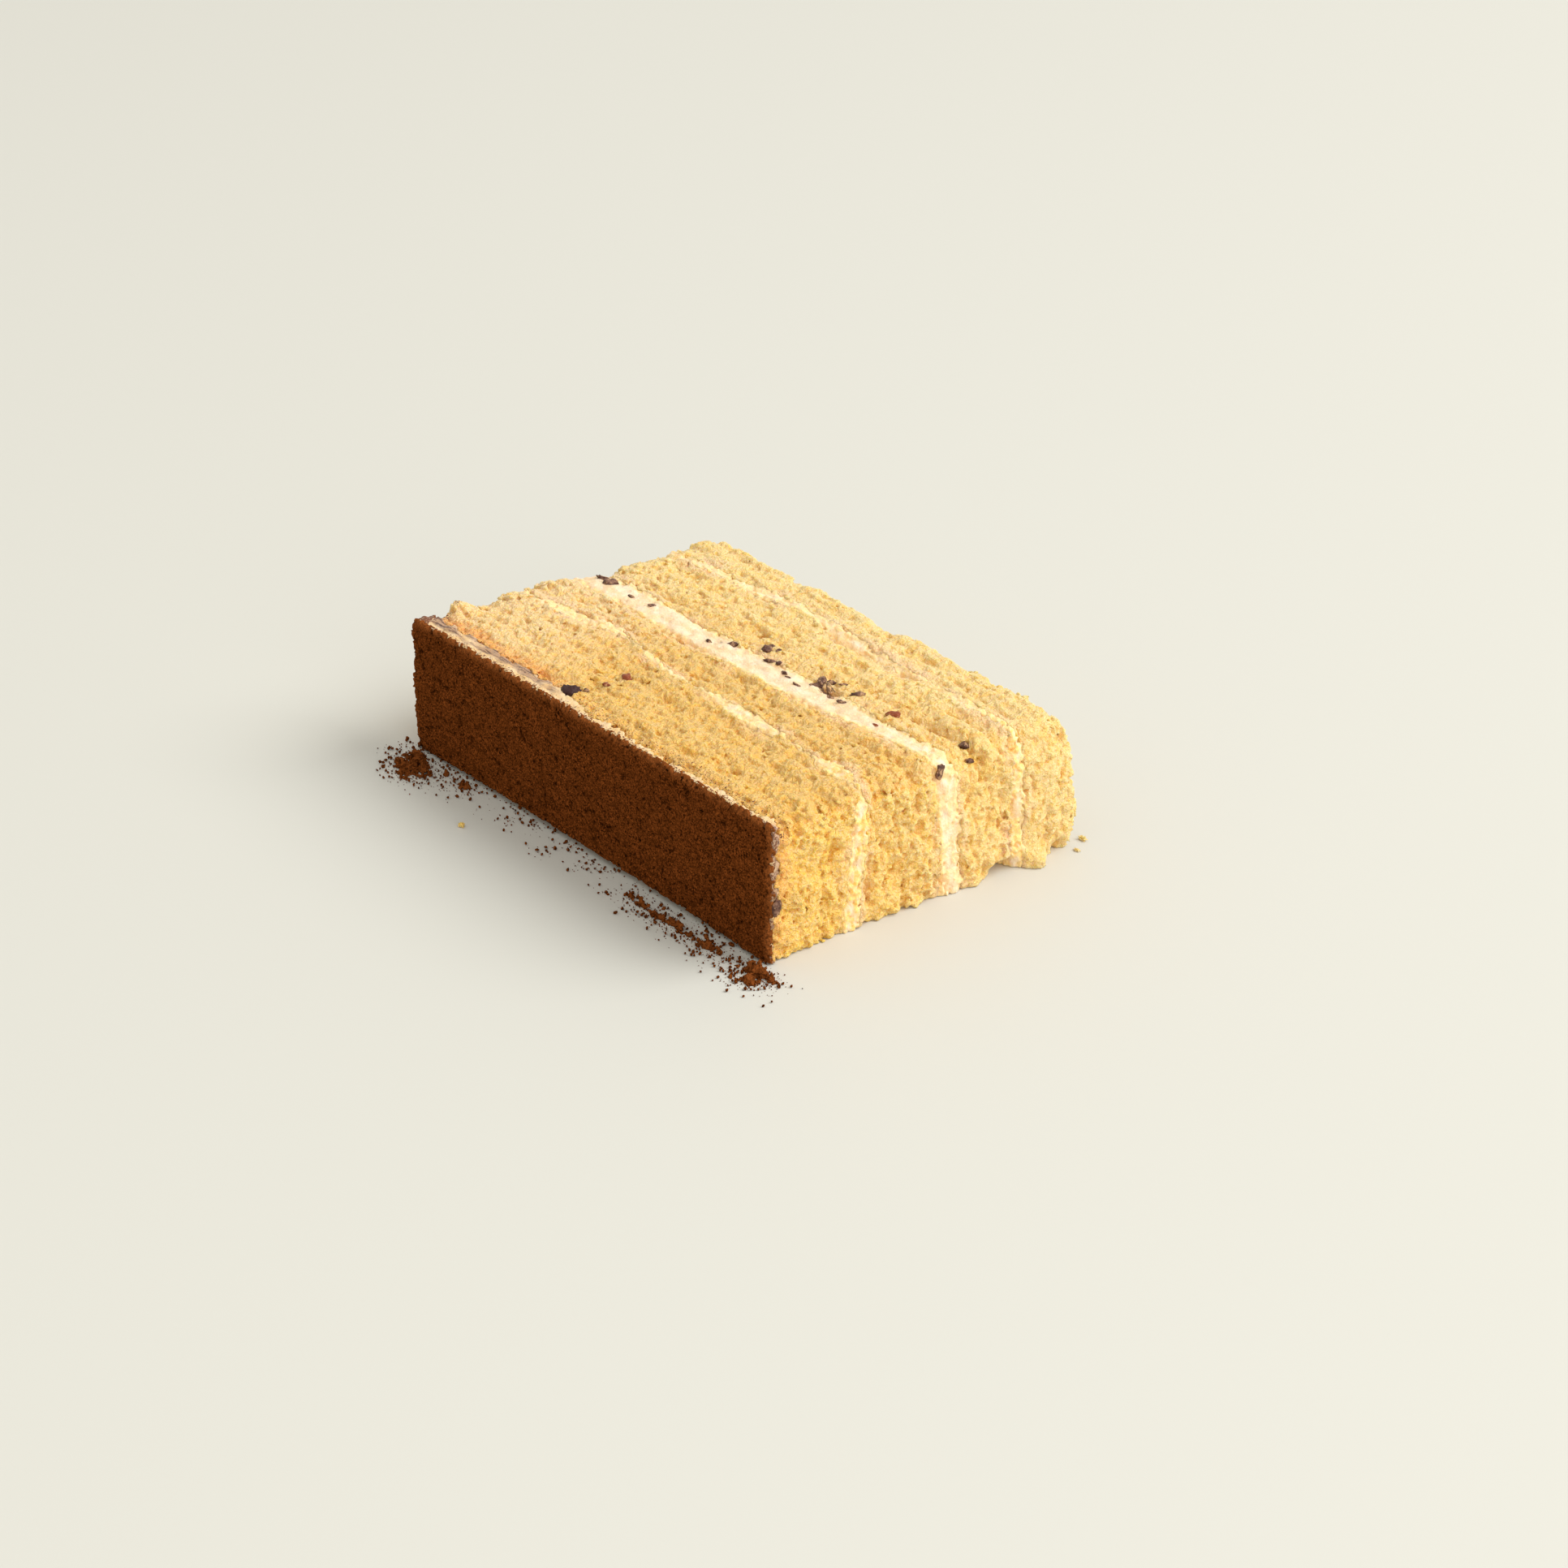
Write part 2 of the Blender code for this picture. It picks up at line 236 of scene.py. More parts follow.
class Recipe:
    """A node tree that makes one piece. Its sizes are named inputs, asked for as recipe["Name"]."""

    def __init__(self, name, sizes):
        self.name = name
        self.sizes = sizes
        self.tree = bpy.data.node_groups.new(name, "GeometryNodeTree")
        self.nodes = self.tree.nodes
        self.tree.interface.new_socket("Mesh", in_out="OUTPUT", socket_type="NodeSocketGeometry")
        self.sockets = {}
        for label, value in sizes.items():
            kind = "NodeSocketInt" if isinstance(value, int) else "NodeSocketFloat"
            self.sockets[label] = self.tree.interface.new_socket(label, in_out="INPUT", socket_type=kind)
        self.given = self.nodes.new("NodeGroupInput")
        position = self.nodes.new("GeometryNodeInputPosition")
        scale = self.nodes.new("ShaderNodeVectorMath")
        scale.operation = "SCALE"
        scale.inputs["Scale"].default_value = 1 / MM
        self.tree.links.new(position.outputs[0], scale.inputs[0])
        self.place = Place(self.tree, scale.outputs[0])

    def __getitem__(self, label):
        return Amount(self.tree, self.given.outputs[label])

    def step(self, kind, flow, **settings):
        """Adds a node that the mesh flows through, and returns it."""
        node = self.nodes.new(kind)
        if flow is not None:
            self.tree.links.new(flow, node.inputs[0])
        for label, value in settings.items():
            socket = next(s for s in node.inputs if s.enabled and s.name == label.replace("_", " "))
            if isinstance(value, (Amount, Place)):
                self.tree.links.new(value.socket, socket)
            elif hasattr(value, "is_output"):
                self.tree.links.new(value, socket)
            else:
                socket.default_value = value
        return node

    def bake(self, flow, material):
        """Ends the tree and turns what it makes into an object with a plain mesh."""
        real = self.step("GeometryNodeRealizeInstances", flow)
        painted = self.step("GeometryNodeSetMaterial", real.outputs[0], Material=material)
        self.tree.links.new(painted.outputs[0], self.nodes.new("NodeGroupOutput").inputs[0])
        obj = bpy.data.objects.new(self.name, bpy.data.meshes.new(self.name))
        bpy.context.scene.collection.objects.link(obj)
        modifier = obj.modifiers.new(self.name, "NODES")
        modifier.node_group = self.tree
        for label, value in self.sizes.items():
            modifier[self.sockets[label].identifier] = value
        graph = bpy.context.evaluated_depsgraph_get()
        made = bpy.data.meshes.new_from_object(
            obj.evaluated_get(graph), preserve_all_data_layers=True, depsgraph=graph)
        obj.modifiers.remove(modifier)
        obj.data = made
        made.name = self.name
        made.shade_smooth()
        return obj


class Filling:
    """One spread of cream: where its middle lies in the stack, how thick it is, and where crumb has
    closed over it on the upper face."""

    def __init__(self, depth, rise, rise_at, rise_reach, end_drift, base_lean, half, half_at_end, gaps, seed):
        self.middle = depth + FRONT
        self.rise, self.rise_at, self.rise_reach = rise, rise_at, rise_reach
        self.end_drift, self.base_lean = end_drift, base_lean
        self.half, self.half_at_end = half, half_at_end
        self.gaps, self.seed = gaps, seed

    def centre_and_half(self, place):
        along = (place.x / LENGTH + 0.5).most(0)
        centre = place.x.bell(self.rise_at, self.rise_reach) * self.rise + along ** 8 * self.end_drift
        centre = centre + (1 - place.z / THICKNESS) * self.base_lean + self.middle
        half = place.x.rise(0, END) * (self.half_at_end - self.half) + self.half
        closed = place.moved(self.seed).noise((8.0, 30.0, 30.0), 1.0).rise(0.40, 0.58) * self.gaps
        closed = closed * place.z.rise(THICKNESS - 3.5, THICKNESS - 1.5)
        return centre, half * (1 - closed)

    def edge(self, place, side, shape, depth):
        """The Y of its surface towards the dusted face (side -1) or towards the base (side 1). It wanders
        where it shows, and is plain further in."""
        centre, half = shape
        wave = place.moved(self.seed + side).noise((1.8, 5.0, 1.8), 2.0, 0.6) - 0.5
        wave = wave * (1 - depth.rise(2.5, 4.5))
        return centre + half * side + wave * (2 * SEAM_WAVE)


FILLINGS = (
    Filling(23.0, 3.0, -25, 13, -3.0, -2.4, 1.5, 1.6, 0.85, 11),
    Filling(36.9, -0.6, -10, 14, 2.6, 0.8, 3.7, 2.3, 0.15, 23),
    Filling(55.4, 2.2, -11, 16, -0.4, -0.6, 1.6, 1.2, 0.55, 37),
)


def icing_back(place, depth):
    """The Y where the icing ends and crumb begins. Crumb reaches into the icing where they show."""
    swell = (1 - place.x.rise(-16, 2)) * ICING_SWELL + ICING
    crumb_over = place.moved(3).noise((1.9, 5.0, 1.9), 2.0, 0.6).rise(0.3, 0.7) * (1 - depth.rise(2.5, 4.5))
    crumb_over = crumb_over * (place.x.rise(-12, 0) * 0.6 + CRUMB_OVER_ICING)
    return swell * (place.z / THICKNESS * 0.4 + 0.6) + (FRONT + DUSTING) - crumb_over


def inside_block(place, worn_edge):
    """How far a place is inside the nearest of the faces that show, with the edges between them worn."""
    depth = place.y - FRONT
    height = place.z / THICKNESS
    rough = (place.noise(6.0, 2.0) - 0.5) * 1.8
    belly = depth.rise(52, 64) * (1 - (height * 2 - 1) ** 2)
    lost = (place.y.bell(16.8, 2.8) + place.y.bell(29.4, 1.6) * 0.6) * (1 - place.z.rise(1.2, 3.4))
    stuck_on = place.y.bell(23.4, 2.0) * (1 - place.z.rise(1.2, 3.0))
    right = END - (1 - depth.rise(16, 58) * (1 - height)) * SPREAD - place.x
    right = right + belly * END_BELLY - lost * FOOT_BITE + stuck_on * FOOT_CRUMB
    left = place.x + END - depth.rise(28, 42) * (height * 0.65 + 0.35) * LEFT_BITE
    sag = ((place.z - SWELL_HEIGHT).size() / (THICKNESS - SWELL_HEIGHT)).most(0) ** 1.5
    notch = place.x.bell(NOTCH_AT, 3.0) * height.most(0) ** 4
    back = BACK - sag * BACK_SWELL - notch * NOTCH_DEPTH - place.y
    lump = place.x.bell(LUMP[0], 2.4) * place.y.bell(LUMP[1], 1.9) * LUMP_HEIGHT
    hole = place.x.bell(HOLE[0], 1.9) * place.y.bell(HOLE[1], 1.0) * HOLE_DEPTH
    furrow = place.x.bell(FURROW[0], 11) * place.y.bell(FURROW[1], 1.3) * FURROW_DEPTH
    upper = THICKNESS - place.z + lump - hole - furrow
    ends = (right + rough).least(left - rough)
    return ends.meets(back + rough, worn_edge).meets(upper, worn_edge)


def foot(place):
    """How far a place is above the cut face that the slice lies on."""
    into_stack = (1 - (place.y - FRONT) / FOOT_REACH).most(0).least(1)
    bow = ((place.x * (math.pi / LENGTH)).does("COSINE")).most(0) ** 0.5
    return place.z - into_stack * bow * FOOT_LIFT


def crumb(place, recipe):
    """How deep the torn crumb lies below the block's faces. One pattern runs through all the layers."""
    sliced = 1 - place.z.rise(THICKNESS - 3, THICKNESS - 1) * 0.3  # the upper face is cut, the ends are torn
    sliced = sliced - place.y.rise(5, 28) * 0.15
    place = place.moved(recipe["Seed"])
    pushed = place.warped(0.8, 1.3)
    clumps = pushed.cells(recipe["Clump"]) ** 2 * recipe["Clump depth"]
    grains = pushed.cells(recipe["Grain"]) ** 2 * recipe["Grain depth"]
    pits = pushed.noise(1.2, 0.0).rise(0.58, 0.72) * recipe["Pit depth"]
    tears = pushed.noise((2.9, 1.5, 2.7), 0.0).rise(0.62, 0.76) * recipe["Tear depth"]
    crags = (place.noise((13.0, 3.6, 10.0), 1.0) - 0.42).most(0) * recipe["Crag depth"]
    return (clumps + grains) * sliced, pits + tears + crags - 0.4


def carved(name, low, high, sizes, shape, material):
    """A mesh of where a shape is solid, between the corners low and high. shape(place, recipe) gives how
    far each place is inside, and the marks whose values the mesh keeps by name for its material."""
    recipe = Recipe(name, sizes)
    solid, marks = shape(recipe.place, recipe)
    box = recipe.step(
        "GeometryNodeVolumeCube", None, Density=solid, Background=-1.0,
        Min=Vector(low) * MM, Max=Vector(high) * MM)
    for axis, near, far in zip("XYZ", low, high):
        count = recipe["Voxel"] ** -1 * (far - near)
        recipe.tree.links.new(count.socket, box.inputs["Resolution " + axis])
    skin = recipe.step(
        "GeometryNodeVolumeToMesh", box.outputs[0], Threshold=0.0, Adaptivity=recipe["Simplify"])
    island = recipe.nodes.new("GeometryNodeInputMeshIsland")
    points = recipe.nodes.new("GeometryNodeAccumulateField")
    points.data_type = "INT"
    recipe.tree.links.new(island.outputs["Island Index"], points.inputs["Group ID"])
    loose = recipe.nodes.new("FunctionNodeCompare")
    loose.data_type = "INT"
    loose.operation = "LESS_THAN"
    few = [s for s in loose.inputs if s.enabled]
    recipe.tree.links.new(points.outputs["Total"], few[0])
    recipe.tree.links.new(recipe["Loose bit"].socket, few[1])
    flow = recipe.step("GeometryNodeDeleteGeometry", skin.outputs[0], Selection=loose.outputs[0]).outputs[0]
    for mark, value in marks.items():
        flow = recipe.step("GeometryNodeStoreNamedAttribute", flow, Name=mark, Value=value).outputs[0]
    return recipe.bake(flow, material)


def lay_out(obj):
    """A UV map of the piece's six sides laid side by side, so that crumb keeps one scale all over."""
    mesh = obj.data
    faces = len(mesh.polygons)
    points = np.empty(len(mesh.vertices) * 3)
    mesh.vertices.foreach_get("co", points)
    points = points.reshape(-1, 3)
    corners, totals = np.empty(len(mesh.loops), int), np.empty(faces, int)
    mesh.loops.foreach_get("vertex_index", corners)
    mesh.polygons.foreach_get("loop_total", totals)
    middles, normals = np.empty(faces * 3), np.empty(faces * 3)
    mesh.polygons.foreach_get("center", middles)
    mesh.polygons.foreach_get("normal", normals)
    middles, normals = middles.reshape(-1, 3), normals.reshape(-1, 3)
    low, high = points.min(0), points.max(0)
    size = high - low
    reach = np.concatenate([middles - low, high - middles], 1)
    facing = np.concatenate([-normals, normals], 1)
    side = np.where(facing > -0.2, reach, 1e3).argmin(1)
    spread_by = [(1, 2), (0, 2), (0, 1)] * 2  # the two axes that each side is laid out by
    heights = [size[v] * 1.02 for u, v in spread_by]
    whole = max(sum(heights), size[0], size[1])
    of_corner = np.repeat(side, totals)
    uv = np.empty((len(corners), 2))
    start = 0.0
    for number, (u, v) in enumerate(spread_by):
        held = of_corner == number
        at = points[corners[held]] - low
        uv[held, 0] = at[:, u] / whole
        uv[held, 1] = (at[:, v] + start) / whole
        start += heights[number]
    layer = mesh.uv_layers.new(name="OFBake")
    layer.data.foreach_set("uv", uv.astype(np.float32).ravel())


def colour(red, green, blue):
    """A colour as a screen shows it, 0 to 255, made linear."""
    return tuple(((c / 255 + 0.055) / 1.055) ** 2.4 if c > 10 else c / 255 / 12.92
                 for c in (red, green, blue)) + (1.0,)


def in_millimetres(tree):
    where = tree.nodes.new("ShaderNodeTexCoord")
    scale = tree.nodes.new("ShaderNodeVectorMath")
    scale.operation = "SCALE"
    scale.inputs["Scale"].default_value = 1 / MM
    tree.links.new(where.outputs["Object"], scale.inputs[0])
    return Place(tree, scale.outputs[0])


class Finish:
    """A material: its shader, the place of each point on it, and the marks that its mesh carries."""

    def __init__(self, name, roughness, specular=0.5):
        self.material = bpy.data.materials.new(name)
        self.material.use_nodes = True
        self.tree = self.material.node_tree
        self.shader = self.tree.nodes["Principled BSDF"]
        self.shader.inputs["Roughness"].default_value = roughness
        self.shader.inputs["Specular IOR Level"].default_value = specular
        self.place = in_millimetres(self.tree)

    def mark(self, name):
        node = self.tree.nodes.new("ShaderNodeAttribute")
        node.attribute_name = name
        return Amount(self.tree, node.outputs["Fac"])

    def mix(self, share, first, second):
        """A colour between two, each given as a colour or as a socket."""
        node = self.tree.nodes.new("ShaderNodeMix")
        node.data_type = "RGBA"
        self.tree.links.new(share.socket, node.inputs["Factor"])
        slots = [s for s in node.inputs if s.enabled and s.name in "AB"]
        for socket, given in zip(slots, (first, second)):
            if hasattr(given, "is_output"):
                self.tree.links.new(given, socket)
            else:
                socket.default_value = given
        return next(s for s in node.outputs if s.enabled)

    def translucent(self, weight, reach, radius):
        self.shader.inputs["Subsurface Weight"].default_value = weight
        self.shader.inputs["Subsurface Radius"].default_value = radius
        self.shader.inputs["Subsurface Scale"].default_value = reach * MM

    def paint(self, base, height, distance):
        self.tree.links.new(base, self.shader.inputs["Base Color"])
        bump = self.tree.nodes.new("ShaderNodeBump")
        bump.inputs["Distance"].default_value = distance * MM
        self.tree.links.new(height.socket, bump.inputs["Height"])
        self.tree.links.new(bump.outputs[0], self.shader.inputs["Normal"])

    def effect(self, group, **settings):
        """Places a shared effect in this material, and returns its outputs as amounts."""
        node = self.tree.nodes.new("ShaderNodeGroup")
        node.node_tree = group
        self.tree.links.new(self.place.socket, node.inputs["Place"])
        for label, value in settings.items():
            slot = node.inputs[label.replace("_", " ")]
            if isinstance(value, Amount):
                self.tree.links.new(value.socket, slot)
            else:
                slot.default_value = value
        return [Amount(self.tree, out) for out in node.outputs]


def effect_group(name, inputs, outputs, build):
    """A shader effect for more than one material. build(place, inputs) returns its outputs."""
    tree = bpy.data.node_groups.new(name, "ShaderNodeTree")
    tree.interface.new_socket("Place", in_out="INPUT", socket_type="NodeSocketVector")
    for label in inputs:
        tree.interface.new_socket(label, in_out="INPUT", socket_type="NodeSocketFloat")
    for label in outputs:
        tree.interface.new_socket(label, in_out="OUTPUT", socket_type="NodeSocketFloat")
    given = tree.nodes.new("NodeGroupInput")
    end = tree.nodes.new("NodeGroupOutput")
    amounts = [Amount(tree, given.outputs[label]) for label in inputs]
    made = build(Place(tree, given.outputs["Place"]), amounts)
    for slot, value in zip(end.inputs, made):
        tree.links.new(value.socket, slot)
    return tree


def build_fine_grain(place, inputs):
    size, = inputs
    distance = place.warped(0.3, 0.5).cells(size)
    uneven = place.noise(size * 0.9, 2.0, 0.6)
    # Height is the bump. The second output is a random unevenness in tone plus painted light: pale in the
    # middle of each grain as a painted highlight, and darker at its border as painted shade.
    return [uneven * 1.6 - distance ** 2, uneven.rise(0.3, 0.7) * 0.6 + (1 - distance.rise(0.2, 0.75)) * 0.4]


def build_specks(place, inputs):
    size, share = inputs
    spots = place.moved(5).noise(size, 1.0)
    drifts = place.moved(7).noise((5.0, 2.2, 5.0), 2.0)
    edge = 0.80 - share * 0.22 - drifts * share * 0.14
    return [((spots - edge) * 14).most(0).least(1)]


def build_chocolate_smear(place, inputs):
    """Streaks where chocolate has been dragged over the crumb and cream round the hole."""
    near = place.x.bell(HOLE[0] - 1.2, 4.2) * place.y.bell(HOLE[1], 1.9)
    streaks = place.moved(9).noise((1.5, 0.45, 1.5), 2.0, 0.6)
    return [((streaks - 0.74 + near * 0.36) * 9).most(0).least(0.85)]


FINE_GRAIN = effect_group("fine_grain", ["Size"], ["Height", "Tone"], build_fine_grain)
SPECKS = effect_group("cocoa_specks", ["Size", "Share"], ["Speck"], build_specks)
CHOCOLATE_SMEAR = effect_group("chocolate_smear", [], ["Smear"], build_chocolate_smear)

COCOA_SPECK = colour(117, 67, 34)
SMEARED_CHOCOLATE = colour(115, 91, 80)
sponge = Finish("vanilla_sponge", roughness=0.4)
height, tone_and_highlight = sponge.effect(FINE_GRAIN, Size=0.44)
speck, = sponge.effect(SPECKS, Size=0.32, Share=sponge.mark("dust"))
chocolate_smear, = sponge.effect(CHOCOLATE_SMEAR)
patches = sponge.place.noise((9.0, 5.0, 9.0), 2.0)
# Paler in the middle of each fine grain and deeper yellow at its border: painted highlight and painted shade,
# over a random unevenness.
tint = sponge.mix(tone_and_highlight, colour(255, 195, 70), colour(255, 220, 162))
tint = sponge.mix(patches.rise(0.35, 0.7) * 0.4, tint, colour(255, 198, 88))
tint = sponge.mix(sponge.place.y.rise(-28, 25) * 0.55, tint, colour(255, 223, 166))
upper = sponge.place.z.rise(THICKNESS - 4, THICKNESS - 1) * (1 - sponge.place.y.rise(-8, 18))
tint = sponge.mix(upper * sponge.place.x.rise(-38, -8) * 0.55, tint, colour(216, 180, 106))
tint = sponge.mix(upper * (1 - sponge.place.x.rise(-38, -8)) * 0.4, tint, colour(250, 220, 186))
moist = sponge.place.moved(3).noise(1.5, 1.0).rise(0.50, 0.62)
tint = sponge.mix(moist * 0.35, tint, colour(255, 191, 58))
# Deeper yellow between the clumps and grains and in the deep pits: painted shade.
tint = sponge.mix(sponge.mark("valley").rise(0.35, 1.3) * 0.4, tint, colour(255, 186, 40))
tint = sponge.mix(sponge.mark("depth").rise(1.2, 2.8) * 0.5, tint, colour(255, 182, 36))
tint = sponge.mix(sponge.mark("soak") * 0.8, tint, colour(240, 168, 88))
tint = sponge.mix(sponge.mark("smear"), tint, colour(255, 208, 162))
tint = sponge.mix(chocolate_smear, tint, SMEARED_CHOCOLATE)
tint = sponge.mix(speck, tint, COCOA_SPECK)
sponge.translucent(0.65, 1.2, (0.75, 0.95, 0.6))
sponge.paint(tint, height, 0.4)

SPONGES = (  # node, the fillings on its two sides, and how finely it is carved
    ("sponge_1", None, FILLINGS[0], 0.29),
    ("sponge_2", FILLINGS[0], FILLINGS[1], 0.27),
    ("sponge_3", FILLINGS[1], FILLINGS[2], 0.28),
    ("sponge_4", FILLINGS[2], None, 0.32),
)


def dragged(distance, place, seed):
    """How much cream the knife has dragged over the crumb at this distance from a filling."""
    patches = place.moved(seed).noise((10.0, 3.0, 10.0), 2.0).rise(0.45, 0.62)
    return (1 - distance.rise(0.0, 3.0)) * patches


def sponge_layer(before, after):
    def shape(place, recipe):
        depth = inside_block(place, recipe["Worn edge"])
        bumps, hollows = crumb(place, recipe)
        solid = (depth - bumps - hollows).least(foot(place))
        smear = None
        for filling, side in ((before, 1), (after, -1)):
            if filling:
                edge = filling.edge(place, side, filling.centre_and_half(place), depth)
                distance = (place.y - edge) * side
                solid = solid.least(distance)
                cream = dragged(distance, place, filling.seed)
                smear = smear.most(cream) if smear else cream
        # How deep a point lies below the faces and in the relief, from which the material paints the hollows
        # deeper yellow as painted shade; and how much cream is smeared on.
        marks = {"depth": depth, "valley": bumps + hollows * 0.4, "smear": smear * 0.8}
        from_front = place.y - FRONT
        if not before:
            from_icing = place.y - icing_back(place, depth)
            solid = solid.least(from_icing)
            at_end = place.x.rise(END - 5, END - 2)
            wet = (1 - from_icing.rise(0.5, 4.0)) * ((1 - place.x.rise(-20, -4)) * 0.8 + 0.25)
            marks["soak"] = wet.most((1 - from_icing.rise(0.2, 4.4)) * at_end)
            on_top = place.z.rise(THICKNESS - 5, THICKNESS - 2)
            dust = (1 - from_front.rise(2.5, 10.0)) * (on_top * 0.5 + at_end * 0.3 + 0.25)
            corner = (1 - place.x.rise(-50, -46.5)) * (1 - from_front.rise(5.0, 9.0)) * on_top
            lump_tip = place.x.bell(LUMP[0], 2.0) * place.y.bell(LUMP[1], 1.6)
            lump_tip = lump_tip * (place.z - THICKNESS).rise(0.4, 1.4)
            marks["dust"] = dust.most(corner * 1.6).most(lump_tip * 1.8)
        else:
            marks["soak"] = place.x * 0
            marks["dust"] = place.x * 0
        return solid, marks
    return shape


kept = {}
for name, before, after, voxel in SPONGES:
    node_low, node_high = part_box(name)
    made = carved(
        name + "_crumb",
        (-END - 1.5, node_low.y / MM - 1.2, -0.6), (END + 2.4, node_high.y / MM + 1.2, THICKNESS + 2.2),
        {**SPONGE_SIZES, "Voxel": voxel}, sponge_layer(before, after), sponge.material)
    lay_out(made)
    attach(made, "root")
    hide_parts(name)
    kept[name] = made

# ---------------------------------------------------------------------------
# The coffee cream between the sponges, spread by hand, so that its edges wander into the crumb. The
# middle spread is thick and smooth. The knife has dragged the two thin ones into the crumb beside them.
# ---------------------------------------------------------------------------
CREAM_VOXEL = 0.26
CREAM_SIZES = {
    **SPONGE_SIZES,
    "Voxel": CREAM_VOXEL,
    "Lump": 1.6,
    "Lump depth": 0.6,
    "Ripple depth": 1.2,
}

cream = Finish("coffee_cream", roughness=0.5)
height, tone_and_highlight = cream.effect(FINE_GRAIN, Size=0.45)
tint = cream.mix(cream.place.noise(2.2, 3.0).rise(0.35, 0.65), colour(239, 209, 168), colour(243, 222, 192))
tint = cream.mix(cream.place.noise((6.0, 2.5, 6.0), 2.0).rise(0.52, 0.68) * 0.4, tint, colour(242, 204, 148))
# Deeper yellow in the deep places: painted shade. The crumb in the cream takes the fine grain's painted
# highlight and shade.
tint = cream.mix(cream.mark("depth").rise(1.2, 2.8) * 0.7, tint, colour(250, 196, 100))
tint = cream.mix(cream.mark("crumbs"), tint, cream.mix(tone_and_highlight, colour(255, 202, 100), colour(255, 218, 156)))
chocolate_smear, = cream.effect(CHOCOLATE_SMEAR)
tint = cream.mix(chocolate_smear, tint, SMEARED_CHOCOLATE)
cream.translucent(0.65, 1.2, (0.75, 0.95, 0.7))
cream.paint(tint, height, 0.1)


def cream_spread(filling, crumbs):
    """crumbs is how much crumb the knife has dragged into the middle of the spread. Its borders have more."""
    def shape(place, recipe):
        depth = inside_block(place, recipe["Worn edge"])
        middle = filling.centre_and_half(place)
        to_front = place.y - filling.edge(place, -1, middle, depth)
        to_back = filling.edge(place, 1, middle, depth) - place.y
        pattern = place.moved(filling.seed)
        share = pattern.noise((2.6, 1.6, 2.6), 2.0).rise(0.40, 0.56) * (place.x.rise(30, 48) * 0.5 + crumbs)
        share = share.most(1 - to_front.least(to_back).rise(0.1, 1.3))
        bumps, hollows = crumb(place, recipe)
        smooth = pattern.warped(0.9, 1.5).cells(recipe["Lump"]) ** 2 * recipe["Lump depth"]
        smooth = smooth + (pattern.noise((6.0, 2.5, 6.0), 1.0) - 0.35).most(0) * recipe["Ripple depth"]
        sunk = (bumps + hollows - smooth) * share + smooth
        sunk = sunk + (1 - to_front.least(to_back).rise(-0.1, 0.9)) * 0.1
        solid = (depth - sunk).least(to_front + 0.12).least(to_back + 0.12).least(foot(place))
        return solid, {"depth": depth, "crumbs": share * 0.75}
    return shape


for number, (filling, crumbs) in enumerate(zip(FILLINGS, (0.85, 0.15, 0.7)), 1):
    name = f"cream_{number}"
    node_low, node_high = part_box(name)
    made = carved(
        name + "_spread",
        (-END - 1.5, node_low.y / MM - 1.2, -0.6), (END + 1.6, node_high.y / MM + 1.2, THICKNESS + 1.0),
        CREAM_SIZES, cream_spread(filling, crumbs), cream.material)
    lay_out(made)
    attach(made, "root")
    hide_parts(name)
    kept[name] = made

# ---------------------------------------------------------------------------
# The icing under the cocoa: a thin, pale, smooth skin, thicker towards the -X end. There and at the +X
# end the powder has worked into it and stained it a greyish brown.
# ---------------------------------------------------------------------------
ICING_SIZES = {
    "Voxel": CREAM_VOXEL,
    "Simplify": 0.1,
    "Worn edge": 2.4,
    "Lump depth": 1.6,
    "Loose bit": 600,
    "Seed": 4,
}

icing = Finish("icing", roughness=0.42)
height, tone_and_highlight = icing.effect(FINE_GRAIN, Size=0.45)
speck, = icing.effect(SPECKS, Size=0.36, Share=icing.mark("dust"))
tint = icing.mix(icing.place.noise(2.4, 2.0).rise(0.35, 0.65), colour(228, 190, 130), colour(234, 204, 160))
tint = icing.mix(icing.mark("stain") * 0.65, tint, colour(152, 112, 96))
streak = icing.place.moved(2).noise((1.7, 0.38, 1.1), 3.0, 0.65).rise(0.46, 0.62) * 0.8
tint = icing.mix(streak * icing.mark("stain"), tint, colour(72, 44, 38))
tint = icing.mix(speck, tint, COCOA_SPECK)
icing.translucent(0.35, 0.8, (1.0, 0.7, 0.4))
icing.paint(tint, height, 0.08)


def icing_skin(place, recipe):
    depth = inside_block(place, recipe["Worn edge"])
    pattern = place.moved(recipe["Seed"])
    sunk = (pattern.noise((3.2, 1.6, 3.2), 2.0) - 0.35).most(0) * recipe["Lump depth"]
    solid = (depth - sunk).least(icing_back(place, depth) - place.y + 0.1).least(foot(place))
    solid = solid.least(place.y - (FRONT + DUSTING - 0.4))
    blotches = pattern.noise((3.0, 1.3, 3.0), 2.0).rise(0.30, 0.50)
    at_end = place.x.rise(END - 4.5, END - 3.2)
    band = (place.y - FRONT).rise(1.7, 2.8) * (1 - place.x.rise(-15, -9))
    stain = blotches * band.most(at_end)
    dust = (1 - (place.y - FRONT).rise(1.2, 2.6)) * 0.8 + 0.25
    dust = dust.most((1 - place.x.rise(-50.0, -46.0)) * 1.7)
    return solid, {"stain": stain, "dust": dust}


made = carved(
    "icing_skin", (-END - 1.5, FRONT, -1), (END + 1.5, FRONT + 8, THICKNESS + 1.5),
    ICING_SIZES, icing_skin, icing.material)
lay_out(made)
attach(made, "root")
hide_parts("icing")
kept["icing"] = made

# ---------------------------------------------------------------------------
# The dusting: sieved cocoa powder, packed on the icing into a dry, granular skin about a millimetre
# thick. It is pitted all over, and ragged where the knife broke its edges.
# ---------------------------------------------------------------------------
POWDER_SIZES = {
    "Voxel": 0.24,
    "Simplify": 0.08,
    "Worn edge": 2.4,
    "Grain": 0.5,
    "Grain depth": 0.5,
    "Lump depth": 0.8,
    "Loose bit": 600,
    "Seed": 6,
}

